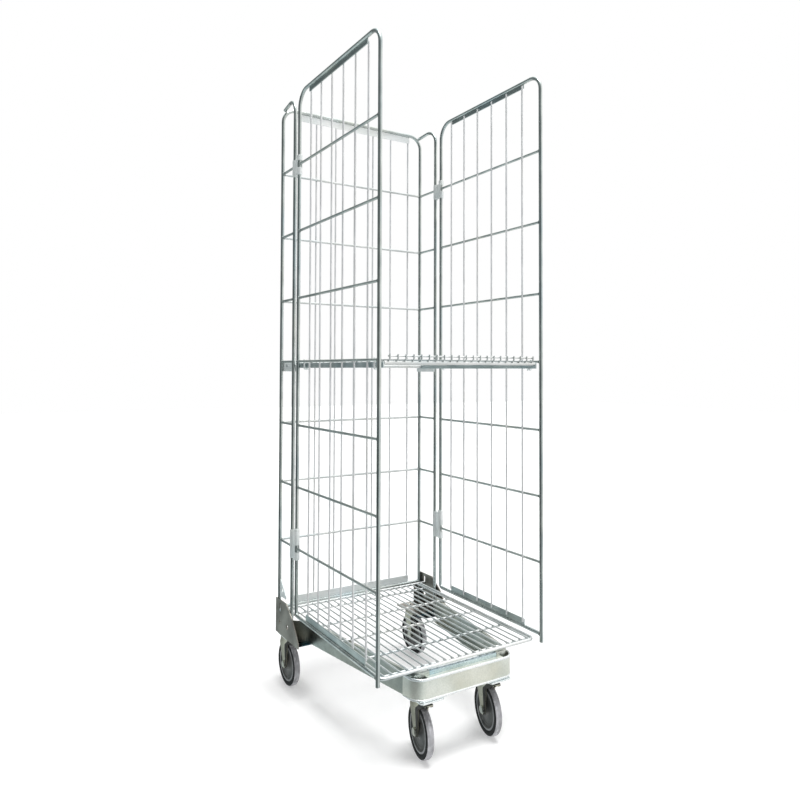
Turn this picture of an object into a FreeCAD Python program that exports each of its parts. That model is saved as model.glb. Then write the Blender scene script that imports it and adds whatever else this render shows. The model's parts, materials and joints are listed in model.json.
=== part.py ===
import FreeCAD, Part
import math
import os

os.makedirs("parts", exist_ok=True)
V = FreeCAD.Vector

# Overall layout. X right, Y to the back, Z up, floor at z = 0.
back_y = 266.1           # plane of the back panel
side_x = 243.0           # plane of the wings and side panels
wing_depth = 90.0        # corner upright to wing upright
panel_rear = 121.0       # hinge line of the side panels, in front of the back panel
panel_front = 569.0      # front uprights of the side panels
top_z = 1685.0           # centre of the top rod of the back panel
wing_top = 1690.0        # centre of the bent top of the wings
wing_corner = 40.0
panel_top = 1691.0       # centre of the top rods of the side panels

# Rod and wire radii
rod_r = 5.0
wire_h_r = 3.5
wire_v_r = 2.5
deck_rod_r = 4.0
cross_r = 3.0
mesh_r = 2.0

# Heights of the horizontal wires, the same on every panel
levels = [1489.0, 1301.0, 1113.0, 936.0, 759.0, 588.0, 419.0]

# Flat strips along the panel edges
strip_t = 3.0
back_strip_h = 20.0
panel_strip_top_h = 12.0
panel_strip_low_h = 16.0

# Hinge clips, lower and upper end
upper_clip = (1459.0, 1506.0)
lower_clip = (388.0, 466.0)

# Side panels
panel_bottom = 236.0
panel_foot = 216.0
panel_corner_front = 38.0
panel_corner_rear = 46.0
panel_bays = 7

# Back panel
back_corner = 40.0
back_bottom = 223.0
back_pitch = 66.0

# Base
plate_t = 3.0
seat_z = 155.0           # top of the caster plates
arm_z0 = 158.0
arm_h = 59.0
arm_front_y = 562.0
arm_front_x = 141.6
arm_knee_y = 137.0
arm_knee_x = 209.6
arm_corner = 30.0
flange_low = 25.0
flange_top = 8.0
joint_x = 100.0          # seam between each arm and the front rail
bumper_y = 577.0
bumper_h = 50.0

# Deck and shelf
deck_z = 223.3
deck_pivot_y = 24.0
deck_front = 556.0
pin_gap = 0.08           # running fit round the deck and shelf pins
mesh_half = 229.0
mesh_pitch = 21.5
mesh_count = 21
shelf_z0 = 918.0
shelf_h = 20.0           # underside of the rails to the top of the mesh
rail_h = 14.0
shelf_pivot_y = 30.0
shelf_pivot_z = 924.0
shelf_front = 562.0
bar_in = 227.0
bar_out = 231.0

# Casters
wheel_r = 62.5
trail = 25.0
fork_half = 15.0         # outer face of each fork leg
fork_t = 2.5
fork_front = -20.0       # edges of the legs at the top, from the kingpin
fork_rear = 56.0
crown_z = 143.5
axle_r = 6.0
front_caster = (101.0, 545.0)
rear_caster = (217.0, 37.0)
plate_x = 66.0
plate_y = 72.0
bolt_x = 20.0
bolt_y = 22.4
bolt_r = 3.0
caster_sites = {
    "front_left": (-front_caster[0], back_y - front_caster[1], -11.0),
    "front_right": (front_caster[0], back_y - front_caster[1], -12.5),
    "rear_left": (-rear_caster[0], back_y - rear_caster[1], 0.0),
    "rear_right": (rear_caster[0], back_y - rear_caster[1], 0.0),
}


def depth(y):
    """Y of a point given as distance in front of the back panel."""
    return back_y - y


def box(x0, x1, y0, y1, z0, z1):
    return Part.makeBox(x1 - x0, y1 - y0, z1 - z0, V(x0, y0, z0))


def rod(a, b, r):
    a = V(*a)
    b = V(*b)
    d = b - a
    return Part.makeCylinder(r, d.Length, a, d)


def path_edges(points, radii):
    """Lines through the points with a round bend of the given radius at each inner point."""
    pts = [V(*p) for p in points]
    edges = []
    start = pts[0]
    for i in range(1, len(pts) - 1):
        u = (pts[i - 1] - pts[i]).normalize()
        w = (pts[i + 1] - pts[i]).normalize()
        r = radii[i - 1]
        if r <= 0:
            edges.append(Part.makeLine(start, pts[i]))
            start = pts[i]
            continue
        half = u.getAngle(w) / 2
        cut = r / math.tan(half)
        p1 = pts[i] + u * cut
        p2 = pts[i] + w * cut
        mid_dir = (u + w).normalize()
        centre = pts[i] + mid_dir * (r / math.sin(half))
        mid = centre - mid_dir * r
        if (p1 - start).Length > 1e-6:
            edges.append(Part.makeLine(start, p1))
        edges.append(Part.Arc(p1, mid, p2).toShape())
        start = p2
    edges.append(Part.makeLine(start, pts[-1]))
    return edges


def bent_rod(points, radii, r):
    wire = Part.Wire(path_edges(points, radii))
    first = V(*points[0])
    along = V(*points[1]) - first
    ring = Part.Wire([Part.makeCircle(r, first, along)])
    return wire.makePipeShell([ring], True, False)


def offset_points(points, d):
    """Shift a flat polyline sideways by d, to the left of its direction."""
    n = len(points)
    normals = []
    for i in range(n - 1):
        dx = points[i + 1][0] - points[i][0]
        dy = points[i + 1][1] - points[i][1]
        length = math.hypot(dx, dy)
        normals.append((-dy / length, dx / length))
    out = []
    for i in range(n):
        a = normals[max(i - 1, 0)]
        b = normals[min(i, n - 2)]
        k = 1.0 + a[0] * b[0] + a[1] * b[1]
        out.append((points[i][0] + d * (a[0] + b[0]) / k, points[i][1] + d * (a[1] + b[1]) / k))
    return out


def turn_side(points, i):
    ax = points[i][0] - points[i - 1][0]
    ay = points[i][1] - points[i - 1][1]
    bx = points[i + 1][0] - points[i][0]
    by = points[i + 1][1] - points[i][1]
    return 1.0 if ax * by - ay * bx > 0 else -1.0


def band(points, radii, d, z0, z1):
    """Upright strip of metal that follows a bent line in plan, d wide to its left."""
    inner = offset_points(points, d)
    inner_radii = [max(r - d * turn_side(points, i + 1), 0.2) for i, r in enumerate(radii)]
    outer_wire = path_edges([(p[0], p[1], z0) for p in points], radii)
    back = path_edges([(p[0], p[1], z0) for p in reversed(inner)], list(reversed(inner_radii)))
    link1 = Part.makeLine(V(points[-1][0], points[-1][1], z0), V(inner[-1][0], inner[-1][1], z0))
    link2 = Part.makeLine(V(inner[0][0], inner[0][1], z0), V(points[0][0], points[0][1], z0))
    wire = Part.Wire(outer_wire + [link1] + back + [link2])
    return Part.Face(wire).extrude(V(0, 0, z1 - z0))


def flat_plate(points, axis, at, thickness):
    """Plate cut to a polygon. axis 'x' takes (y, z) points, axis 'z' takes (x, y) points."""
    if axis == "x":
        pts = [V(at, p[0], p[1]) for p in points]
        push = V(thickness, 0, 0)
    else:
        pts = [V(p[0], p[1], at) for p in points]
        push = V(0, 0, thickness)
    return Part.Face(Part.makePolygon(pts + [pts[0]])).extrude(push)


def hexagon(flats, height, centre, direction):
    r = flats / math.sqrt(3.0)
    pts = [V(r * math.cos(math.radians(60 * k)), r * math.sin(math.radians(60 * k)), 0) for k in range(7)]
    solid = Part.Face(Part.makePolygon(pts)).extrude(V(0, 0, height))
    cone = Part.makeCone(r * 1.02, r * 1.02 - height * 0.9, height * 0.9, V(0, 0, height * 0.55))
    core = Part.makeCylinder(r * 1.02, height * 0.55)
    solid = solid.common(core.fuse(cone))
    solid.Placement = FreeCAD.Placement(V(*centre), FreeCAD.Rotation(V(0, 0, 1), V(*direction)))
    return solid


def place(shape, site):
    """Copy of the shape turned about the upright axis and moved to the site."""
    x, y, angle = site
    moved = shape.copy()
    turn = FreeCAD.Placement(V(x, y, 0), FreeCAD.Rotation(V(0, 0, 1), angle))
    moved.Placement = turn.multiply(moved.Placement)
    return moved


def save(name, shapes):
    if not isinstance(shapes, list):
        shapes = [shapes]
    shape = shapes[0] if len(shapes) == 1 else Part.makeCompound(shapes)
    shape.exportStep("parts/" + name + ".step")
    ok = shape.isValid()
    print(name, len(shape.Solids), round(shape.Volume / 1000.0, 2), ok)


# ---- Back frame ----

def back_outline():
    y = depth(0)
    x = side_x
    loop = [(-x, y, arm_z0), (-x, y, top_z), (x, y, top_z), (x, y, arm_z0)]
    frame = bent_rod(loop, [back_corner, back_corner], rod_r)
    lower = rod((-x + rod_r, y, back_bottom), (x - rod_r, y, back_bottom), rod_r)
    return [frame, lower]


def back_verticals():
    y = depth(0) + wire_h_r + wire_v_r
    z0 = back_bottom + rod_r + 1.0
    z1 = top_z - rod_r - 1.0
    return [rod((k * back_pitch, y, z0), (k * back_pitch, y, z1), wire_v_r) for k in range(-3, 4)]


def back_horizontals():
    x = side_x - rod_r
    return [rod((-x, depth(0), z), (x, depth(0), z), wire_h_r) for z in levels]


def back_strips():
    x = 3 * back_pitch + wire_v_r
    y0 = depth(0) + wire_h_r - strip_t
    y1 = depth(0) + wire_h_r
    z_top = top_z - rod_r
    z_low = back_bottom + rod_r
    h = back_strip_h
    return [box(-x, x, y0, y1, z_top - h, z_top), box(-x, x, y0, y1, z_low, z_low + h)]


def wing_rod(side):
    x = side * side_x
    end = side * (side_x - 5.1)
    front = depth(wing_depth)
    points = [(x, front, arm_z0), (x, front, wing_top), (end, depth(1.0), top_z - 4.0)]
    return bent_rod(points, [wing_corner], rod_r)


def wing_wires(side):
    x = side * side_x
    a = depth(rod_r)
    b = depth(wing_depth - rod_r)
    return [rod((x, a, z), (x, b, z), wire_h_r) for z in levels]


def hinge_clip(side, z0, z1, wire_z):
    """Clip welded to the wing upright whose ring lets the panel upright turn."""
    x = side * side_x
    ring_y = depth(panel_rear)
    wing_y = depth(wing_depth)
    h = z1 - z0
    ring = Part.makeCylinder(rod_r + 3.0, h, V(x, ring_y, z0))
    saddle = Part.makeCylinder(rod_r + 3.0, h, V(x, wing_y, z0))
    saddle = saddle.common(box(x - 10, x + 10, wing_y - 10, wing_y, z0, z1))
    web = box(x - 2.0, x + 2.0, ring_y + 4, wing_y - 4, z0, z1)
    clip = ring.fuse([saddle, web])
    clip = clip.cut(Part.makeCylinder(rod_r + 0.08, h, V(x, ring_y, z0)))
    clip = clip.cut(Part.makeCylinder(rod_r, h, V(x, wing_y, z0)))
    # window for the horizontal wire, from straight ahead round to the outside
    start = 118.0 if side < 0 else 222.0
    window = Part.makeCylinder(12.0, 20.0, V(0, 0, wire_z - 10.0), V(0, 0, 1), 200)
    clip = clip.cut(place(window, (x, ring_y, start)))
    return clip.removeSplitter()


def hinge_clips():
    clips = []
    for side in (-1, 1):
        clips.append(hinge_clip(side, upper_clip[0], upper_clip[1], levels[0]))
        clips.append(hinge_clip(side, lower_clip[0], lower_clip[1], levels[6]))
    return clips


def shelf_pivot_plates():
    """Plates inside the wings that carry the shelf pins."""
    plates = []
    for side in (-1, 1):
        inner = side_x - rod_r - plate_t
        x0 = inner if side > 0 else -inner - plate_t
        rear, front, low, high = depth(-4), depth(94), 908.0, 932.2
        outline = [(rear, low), (front, low), (front, high - 6.2), (front + 10.0, high), (rear, high)]
        plate = flat_plate(outline, "x", x0, plate_t)
        pin = V(x0 - 3, depth(shelf_pivot_y), shelf_pivot_z)
        plates.append(plate.cut(Part.makeCylinder(deck_rod_r + pin_gap, 10, pin, V(1, 0, 0))))
    return plates


def lock_tab():
    """Small triangular tab with a hole on the left corner upright."""
    rear, front, low, high = depth(rod_r), depth(48), 258.0, 305.0
    outline = [(rear, low), (front, low), (front, low + 10.0), (depth(14), high), (rear, high)]
    tab = flat_plate(outline, "x", -side_x - 1.5, plate_t)
    return tab.cut(Part.makeCylinder(6.0, 10, V(-side_x - 5, depth(24), 278.0), V(1, 0, 0)))


# ---- Base ----

def on_arm(y):
    """Point on the outer face of the left arm, y in front of the back panel."""
    k = (y - arm_knee_y) / (arm_front_y - arm_knee_y)
    return (-arm_knee_x + (arm_knee_x - arm_front_x) * k, depth(y))


def arm(side):
    """Pressed channel arm that runs from the flared rear end round the front corner."""
    plan = [
        (-side_x - rod_r, depth(100.0)),
        (-arm_knee_x, depth(arm_knee_y)),
        (-arm_front_x, depth(arm_front_y)),
        (-joint_x, depth(arm_front_y)),
    ]
    z1 = arm_z0 + arm_h
    web = band(plan, [arm_corner, arm_corner], plate_t, arm_z0, z1)
    low = band([on_arm(175.0), on_arm(502.0)], [], flange_low, arm_z0, arm_z0 + plate_t)
    top = band([on_arm(160.0), plan[2], plan[3]], [arm_corner], flange_top, z1 - plate_t, z1)
    solid = web.fuse([low, top]).removeSplitter()
    return solid if side < 0 else solid.mirror(V(0, 0, 0), V(1, 0, 0))


def front_rail():
    y0 = depth(arm_front_y)
    z1 = arm_z0 + arm_h
    web = box(-joint_x, joint_x, y0, y0 + plate_t, arm_z0, z1)
    low = box(-58.0, 58.0, y0, y0 + flange_low, arm_z0, arm_z0 + plate_t)
    top = box(-joint_x, joint_x, y0, y0 + flange_top, z1 - plate_t, z1)
    return web.fuse([low, top]).removeSplitter()


def bumper():
    """Shallow channel across the front that wraps both corners."""
    plan = [
        (-151.5, depth(526.0)),
        (-144.0, depth(bumper_y)),
        (144.0, depth(bumper_y)),
        (151.5, depth(526.0)),
    ]
    z1 = arm_z0 + bumper_h
    web = band(plan, [34.0, 34.0], plate_t, arm_z0, z1)
    gap = bumper_y - arm_front_y
    top = box(-112.0, 112.0, depth(bumper_y), depth(arm_front_y), z1 - plate_t, z1)
    low = box(-58.0, 58.0, depth(bumper_y), depth(arm_front_y), arm_z0, arm_z0 + plate_t)
    return web.fuse([top, low]).removeSplitter()


def bolt_holes(shape, sites, z):
    for x, y in sites:
        for dx in (-bolt_x, bolt_x):
            for dy in (-bolt_y, bolt_y):
                shape = shape.cut(Part.makeCylinder(bolt_r + 0.3, 20, V(x + dx, y + dy, z - 5)))
    return shape


def foot_bracket(side):
    """Folded rear foot: caster seat, outer side plate and rear flange."""
    inner = 163.0
    outer = side_x + rod_r
    rear = depth(-8.0)
    front = depth(140.0)
    seat = box(-outer - plate_t, -inner, front, rear, seat_z, seat_z + plate_t)
    corner = box(-inner - 25, -inner, front, front + 25, seat_z - 1, seat_z + 5)
    corner = corner.cut(Part.makeCylinder(25.0, 8, V(-inner - 25, front + 25, seat_z - 1)))
    seat = seat.cut(corner)
    side_points = [
        (rear, seat_z), (depth(152), seat_z), (depth(152), 168.0),
        (depth(110), 222.0), (depth(66), 253.0), (rear, 252.0),
    ]
    wall = flat_plate(side_points, "x", -outer - plate_t, plate_t)
    flange = box(-outer, -227.0, rear - plate_t, rear, seat_z, arm_z0 + arm_h)
    bracket = seat.fuse([wall, flange]).removeSplitter()
    for y in (24.0, 76.0):
        bracket = bracket.cut(Part.makeCylinder(6.5, 10, V(-outer - 6, depth(y), 190.0), V(1, 0, 0)))
    slot_r = deck_rod_r + pin_gap
    y = depth(deck_pivot_y)
    low = Part.makeCylinder(slot_r, 10, V(-outer - 6, y, deck_z), V(1, 0, 0))
    high = Part.makeCylinder(slot_r, 10, V(-outer - 6, y, deck_z + 17), V(1, 0, 0))
    middle = box(-outer - 6, -outer + 4, y - slot_r, y + slot_r, deck_z, deck_z + 17)
    bracket = bracket.cut(low.fuse([high, middle]))
    x, y = -rear_caster[0], depth(rear_caster[1])
    bracket = bolt_holes(bracket, [(x, y)], seat_z)
    return bracket if side < 0 else bracket.mirror(V(0, 0, 0), V(1, 0, 0))


def front_corner_plates():
    plates = []
    for side in (-1, 1):
        xa = side * 60.0
        xb = side * 140.0
        pts = [
            (xa, depth(503)), (side * 146.0, depth(503)), (xb, depth(560)),
            (side * 124.0, depth(576)), (xa, depth(576)),
        ]
        plate = flat_plate(pts, "z", seat_z, plate_t)
        plates.append(bolt_holes(plate, [(side * front_caster[0], depth(front_caster[1]))], seat_z))
    return plates


# ---- Side panels ----

def panel_outline(side):
    x = side * side_x
    a = depth(panel_rear)
    b = depth(panel_front)
    points = [
        (x, b, panel_foot), (x, b, panel_top), (x, a, panel_top),
        (x, a, panel_bottom), (x, b + rod_r, panel_bottom),
    ]
    return bent_rod(points, [panel_corner_front, panel_corner_rear, 12.0], rod_r)


def panel_y(k):
    pitch = (panel_front - panel_rear) / panel_bays
    return depth(panel_rear + k * pitch)


def panel_verticals(side):
    """Upright wires on the inner side, each end welded to the inner face of a strip."""
    x = side * (side_x - wire_h_r - wire_v_r)
    z0 = panel_bottom + rod_r + panel_strip_low_h - 8.0
    z1 = panel_top - rod_r - panel_strip_top_h + 7.0
    return [rod((x, panel_y(k), z0), (x, panel_y(k), z1), wire_v_r) for k in range(1, panel_bays)]


def panel_horizontals(side):
    x = side * side_x
    a = depth(panel_rear + rod_r)
    b = depth(panel_front - rod_r)
    return [rod((x, a, z), (x, b, z), wire_h_r) for z in levels]


def panel_strips(side):
    inner = side_x - wire_h_r
    x0 = inner if side > 0 else -inner - strip_t
    y0 = panel_y(panel_bays - 1) - wire_v_r
    y1 = panel_y(1) + wire_v_r
    z_top = panel_top - rod_r
    z_low = panel_bottom + rod_r
    return [
        box(x0, x0 + strip_t, y0, y1, z_top - panel_strip_top_h, z_top),
        box(x0, x0 + strip_t, y0, y1, z_low, z_low + panel_strip_low_h),
    ]


def shelf_hooks(side):
    """Bent rod rests under the shelf rails: a leg on the shelf-level wire, an elbow and a finger."""
    hooks = []
    x = side * (side_x - wire_h_r - wire_v_r)
    z = shelf_z0 - 0.3 - wire_v_r
    bend = 3.5
    turn_x = x - side * bend
    for y in (150.0, 538.0):
        ring = Part.Wire([Part.makeCircle(wire_v_r, V(x, depth(y), z + bend), V(0, 0, 1))])
        elbow = Part.Face(ring).revolve(V(turn_x, depth(y), z + bend), V(0, side, 0), 90)
        hooks.append(rod((x, depth(y), z + bend), (x, depth(y), 941.0), wire_v_r))
        hooks.append(elbow)
        hooks.append(rod((turn_x, depth(y), z), (side * 225.0, depth(y), z), wire_v_r))
    return hooks


def hinge_collars(side):
    """Rings on the panel upright that rest on the clips."""
    collars = []
    for z in (upper_clip[1] + 0.1, lower_clip[1] + 0.1):
        ring = Part.makeCylinder(rod_r + 3.0, 8.0, V(side * side_x, depth(panel_rear), z))
        collars.append(ring.cut(Part.makeCylinder(rod_r, 8.0, V(side * side_x, depth(panel_rear), z))))
    return collars


# ---- Deck ----

def deck_frame():
    y_rear = depth(deck_pivot_y)
    y_front = depth(deck_front)
    x = mesh_half
    z = deck_z
    end = y_rear - deck_rod_r
    u = bent_rod([(-x, end, z), (-x, y_front, z), (x, y_front, z), (x, end, z)], [16.0, 16.0], deck_rod_r)
    reach = side_x + rod_r + plate_t
    pivot = rod((-reach, y_rear, deck_z), (reach, y_rear, deck_z), deck_rod_r)
    return [u, pivot]


def deck_cross_rods():
    z = deck_z - 3.0
    x = mesh_half - deck_rod_r - 0.02
    return [rod((-x, depth(y), z), (x, depth(y), z), cross_r) for y in (68.0, 190.0, 312.0, 434.0, 540.0)]


def mesh_x(k):
    return (k - (mesh_count - 1) / 2.0) * mesh_pitch


def deck_wires():
    z = deck_z + 2.0
    a = depth(deck_pivot_y + deck_rod_r + 0.05)
    b = depth(deck_front - deck_rod_r - 0.6)
    return [rod((mesh_x(k), a, z), (mesh_x(k), b, z), mesh_r) for k in range(mesh_count)]


# ---- Shelf ----

def shelf_rails():
    rails = []
    for side in (-1, 1):
        x0 = bar_in if side > 0 else -bar_out
        rail = box(x0, x0 + bar_out - bar_in, depth(566), depth(18), shelf_z0, shelf_z0 + rail_h)
        pin = Part.makeCylinder(deck_rod_r, 20, V(x0 - 5, depth(shelf_pivot_y), shelf_pivot_z), V(1, 0, 0))
        rails.append(rail.cut(pin))
    return rails


def shelf_rods():
    reach = side_x - rod_r + 1.0
    y = depth(shelf_pivot_y)
    rods = [rod((-reach, y, shelf_pivot_z), (reach, y, shelf_pivot_z), deck_rod_r)]
    z = shelf_z0 + shelf_h - 2 * mesh_r
    rods.append(rod((-bar_in, depth(shelf_front), z - 4), (bar_in, depth(shelf_front), z - 4), deck_rod_r))
    for y in (52.0, 180.0, 308.0, 436.0):
        rods.append(rod((-bar_in, depth(y), z - 3), (bar_in, depth(y), z - 3), cross_r))
    x = mesh_x(mesh_count - 1) + mesh_r
    rods.append(rod((-x, depth(566.0), 945.0), (x, depth(566.0), 945.0), mesh_r))
    return rods


def shelf_wires():
    z = shelf_z0 + shelf_h - mesh_r
    wires = []
    for k in range(mesh_count):
        x = mesh_x(k)
        wires.append(bent_rod([(x, depth(40), z), (x, depth(570), z), (x, depth(570), 949.0)], [5.0], mesh_r))
    return wires


# ---- Casters ----

def caster_plate():
    plate = Part.makeBox(plate_x, plate_y, plate_t, V(-plate_x / 2, -plate_y / 2, seat_z - plate_t))
    plate = plate.makeFillet(8.0, [e for e in plate.Edges if abs(e.BoundBox.ZLength - plate_t) < 1e-6])
    skirt = Part.makeCylinder(23.5, 6.0, V(0, 0, seat_z - plate_t - 6.0))
    skirt = skirt.cut(Part.makeCylinder(22.0, 6.0, V(0, 0, seat_z - plate_t - 6.0)))
    plate = plate.fuse(skirt)
    plate = plate.cut(Part.makeCylinder(axle_r + 0.03, 20, V(0, 0, seat_z - 10)))
    return bolt_holes(plate, [(0, 0)], seat_z - 3)


def kingpin():
    shank = Part.makeCylinder(axle_r, 21.0, V(0, 0, 134.0))
    head = Part.makeCylinder(10.0, 6.0, V(0, 0, 134.0))
    head = head.makeFillet(2.0, [e for e in head.Edges if e.BoundBox.ZMax < 134.1])
    return shank.fuse(head).removeSplitter()


def ball_ring():
    balls = []
    for k in range(14):
        a = 2 * math.pi * k / 14
        balls.append(Part.makeSphere(3.0, V(17.5 * math.cos(a), 17.5 * math.sin(a), 148.8)))
    return balls


def fork():
    """Pressed fork: round crown, race ring and two tapered legs."""
    crown = Part.makeCylinder(30.0, 3.0, V(0, 0, crown_z - 3.0))
    table = box(-fork_half, fork_half, fork_front, fork_rear, crown_z - 3.0, crown_z)
    race = Part.makeCylinder(21.0, 2.0, V(0, 0, crown_z)).cut(Part.makeCylinder(13.5, 2.0, V(0, 0, crown_z)))
    body = crown.fuse([table, race])
    boss_r = 13.0
    outline = [
        (fork_front, crown_z), (fork_rear, crown_z), (fork_rear + 2.0, 112.0), (trail + boss_r - 0.8, 66.0),
        (trail - boss_r + 0.8, 58.0), (-8.0, 104.0), (fork_front, 128.0),
    ]
    for x0 in (-fork_half, fork_half - fork_t):
        leg = flat_plate(outline, "x", x0, fork_t)
        boss = Part.makeCylinder(boss_r, fork_t, V(x0, trail, wheel_r), V(1, 0, 0))
        body = body.fuse([leg, boss])
    body = body.cut(Part.makeCylinder(axle_r + 0.08, 20, V(0, 0, 130)))
    body = body.cut(Part.makeCylinder(axle_r + 0.03, 60, V(-30, trail, wheel_r), V(1, 0, 0)))
    return body.removeSplitter()


def axle():
    """Axle bolt with its head on one leg and a nut on the other."""
    shank = Part.makeCylinder(axle_r, 2 * fork_half + 8.0, V(-fork_half, trail, wheel_r), V(1, 0, 0))
    head = hexagon(18.0, 5.0, (-fork_half, trail, wheel_r), (-1, 0, 0))
    nut = hexagon(18.0, 6.5, (fork_half, trail, wheel_r), (1, 0, 0))
    nut = nut.cut(Part.makeCylinder(axle_r, 20, V(12, trail, wheel_r), V(1, 0, 0)))
    return [shank.fuse(head).removeSplitter(), nut]


def revolve_x(profile):
    pts = [V(x, trail, wheel_r + r) for x, r in profile]
    face = Part.Face(Part.makePolygon(pts + [pts[0]]))
    return face.revolve(V(0, trail, wheel_r), V(1, 0, 0), 360)


def wheel_hub():
    half = [(12.2, 6.08), (12.2, 11.0), (7.5, 13.5), (4.0, 18.0), (4.0, 40.0), (7.4, 44.0), (8.3, 49.0)]
    profile = [(-x, r) for x, r in half] + [(x, r) for x, r in reversed(half)]
    return revolve_x(profile)


def tyre():
    half = [(8.3, 49.0), (9.2, 51.0), (9.5, 57.5), (8.0, 61.2), (5.0, 62.5)]
    profile = [(-x, r) for x, r in half] + [(x, r) for x, r in reversed(half)]
    return revolve_x(profile)


def caster_fasteners():
    """Round-head screws through each caster plate with a nut below."""
    solids = []
    for x, y, angle in caster_sites.values():
        for dx in (-bolt_x, bolt_x):
            for dy in (-bolt_y, bolt_y):
                px, py = x + dx, y + dy
                top = seat_z + plate_t
                head = Part.makeCylinder(5.2, 3.3, V(px, py, top))
                head = head.makeFillet(2.0, [e for e in head.Edges if e.BoundBox.ZMin > top + 3.2])
                shank = Part.makeCylinder(bolt_r, 12.5, V(px, py, top - 12.5))
                solids.append(head.fuse(shank).removeSplitter())
                nut = hexagon(10.0, 5.0, (px, py, seat_z - plate_t), (0, 0, -1))
                solids.append(nut.cut(Part.makeCylinder(bolt_r, 20, V(px, py, seat_z - 15))))
    return solids


# ---- Write every node ----

save("back_outline", back_outline())
save("back_verticals", back_verticals())
save("back_horizontals", back_horizontals())
save("back_strips", back_strips())
save("hinge_clips", hinge_clips())
save("shelf_pivot_plates", shelf_pivot_plates())
save("lock_tab", lock_tab())
save("front_rail", front_rail())
save("front_bumper", bumper())
save("front_corner_plates", front_corner_plates())
for tag, side in (("left", -1), ("right", 1)):
    save("wing_rod_" + tag, wing_rod(side))
    save("wing_wires_" + tag, wing_wires(side))
    save("base_arm_" + tag, arm(side))
    save("foot_bracket_" + tag, foot_bracket(side))
    save("panel_outline_" + tag, panel_outline(side))
    save("panel_verticals_" + tag, panel_verticals(side))
    save("panel_horizontals_" + tag, panel_horizontals(side))
    save("panel_strips_" + tag, panel_strips(side))
    save("shelf_hooks_" + tag, shelf_hooks(side))
    save("hinge_collars_" + tag, hinge_collars(side))
save("deck_frame", deck_frame())
save("deck_cross_rods", deck_cross_rods())
save("deck_wires", deck_wires())
save("shelf_rails", shelf_rails())
save("shelf_rods", shelf_rods())
save("shelf_wires", shelf_wires())

flat_sites = [(s[0], s[1], 0.0) for s in caster_sites.values()]
save("caster_plates", [place(caster_plate(), s) for s in flat_sites])
save("caster_kingpins", [place(kingpin(), s) for s in flat_sites])
save("swivel_balls", [place(b, s) for s in flat_sites for b in ball_ring()])
save("caster_fasteners", caster_fasteners())
for tag, site in caster_sites.items():
    save("fork_" + tag, place(fork(), site))
    save("axle_" + tag, [place(s, site) for s in axle()])
    save("wheel_" + tag, place(wheel_hub(), site))
    save("tyre_" + tag, place(tyre(), site))
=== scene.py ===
import json
import math

import bmesh
import bpy
from mathutils import Matrix, Vector, noise


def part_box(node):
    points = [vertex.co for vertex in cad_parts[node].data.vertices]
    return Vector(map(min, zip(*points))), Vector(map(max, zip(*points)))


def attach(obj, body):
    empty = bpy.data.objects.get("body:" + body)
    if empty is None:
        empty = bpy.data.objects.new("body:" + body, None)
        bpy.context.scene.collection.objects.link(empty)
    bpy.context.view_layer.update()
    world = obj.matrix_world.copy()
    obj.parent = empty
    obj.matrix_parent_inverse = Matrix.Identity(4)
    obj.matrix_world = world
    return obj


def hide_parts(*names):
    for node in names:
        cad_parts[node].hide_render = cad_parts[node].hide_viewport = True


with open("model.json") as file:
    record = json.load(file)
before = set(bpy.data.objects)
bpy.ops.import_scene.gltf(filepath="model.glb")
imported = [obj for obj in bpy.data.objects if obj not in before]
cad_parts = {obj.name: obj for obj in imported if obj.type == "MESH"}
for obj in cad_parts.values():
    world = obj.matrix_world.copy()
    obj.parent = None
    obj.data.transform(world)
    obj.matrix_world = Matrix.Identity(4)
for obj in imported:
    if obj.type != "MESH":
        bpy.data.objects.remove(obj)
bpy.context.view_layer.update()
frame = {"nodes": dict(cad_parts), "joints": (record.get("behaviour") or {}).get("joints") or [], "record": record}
nodes = frame["nodes"]
joints = {joint["name"]: joint for joint in frame["joints"]}
slot_of = {row["node"]: row["material_slot"] for row in frame["record"]["subparts"]}

MM = 0.001
SIDES = ("left", "right")
CORNERS = ("front_left", "front_right", "rear_left", "rear_right")
ROD = 5.0 * MM          # radius of the rods of the back, the wings and the panels
THIN_ROD = 4.0 * MM     # radius of the deck's bent rod and pivot rod
SHEET = 3.0 * MM        # sheet of the base
SHELF_RAIL = 4.0 * MM   # width of the shelf's rails


# ---- Places read from the frame ----

def middle(node):
    low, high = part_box(node)
    return (low + high) / 2


def islands(node):
    """Lowest and highest corner of each separate solid in a CAD node, in a stable order."""
    mesh = nodes[node].data
    keys = {}
    merged = []
    # Points within about a hundredth of a millimetre count as one.
    for vertex in mesh.vertices:
        key = tuple(round(c * 1e5) for c in vertex.co)
        merged.append(keys.setdefault(key, len(keys)))
    parent = list(range(len(keys)))

    def root(i):
        while parent[i] != i:
            parent[i] = parent[parent[i]]
            i = parent[i]
        return i

    for polygon in mesh.polygons:
        first = root(merged[polygon.vertices[0]])
        for index in polygon.vertices[1:]:
            other = root(merged[index])
            if other != first:
                parent[other] = first
    groups = {}
    for vertex, index in zip(mesh.vertices, merged):
        groups.setdefault(root(index), []).append(vertex.co)
    boxes = []
    for points in groups.values():
        low = Vector([min(p[k] for p in points) for k in range(3)])
        high = Vector([max(p[k] for p in points) for k in range(3)])
        boxes.append((low, high))
    return sorted(boxes, key=lambda box: tuple(round(c, 4) for c in (*box[0], *box[1])))


def long_axis(box):
    size = box[1] - box[0]
    return max(range(3), key=lambda k: size[k])


# ---- Mesh helpers ----

def skin(bm, loops, material_of=None):
    """Faces between loops of points that have the same count, with a face over each end."""
    rows = [[bm.verts.new(p) for p in loop] for loop in loops]
    count = len(rows[0])
    for a, b in zip(rows, rows[1:]):
        for k in range(count):
            face = bm.faces.new((a[k], a[(k + 1) % count], b[(k + 1) % count], b[k]))
            if material_of:
                face.material_index = material_of(k)
    bm.faces.new(list(reversed(rows[0])))
    bm.faces.new(rows[-1])


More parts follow.
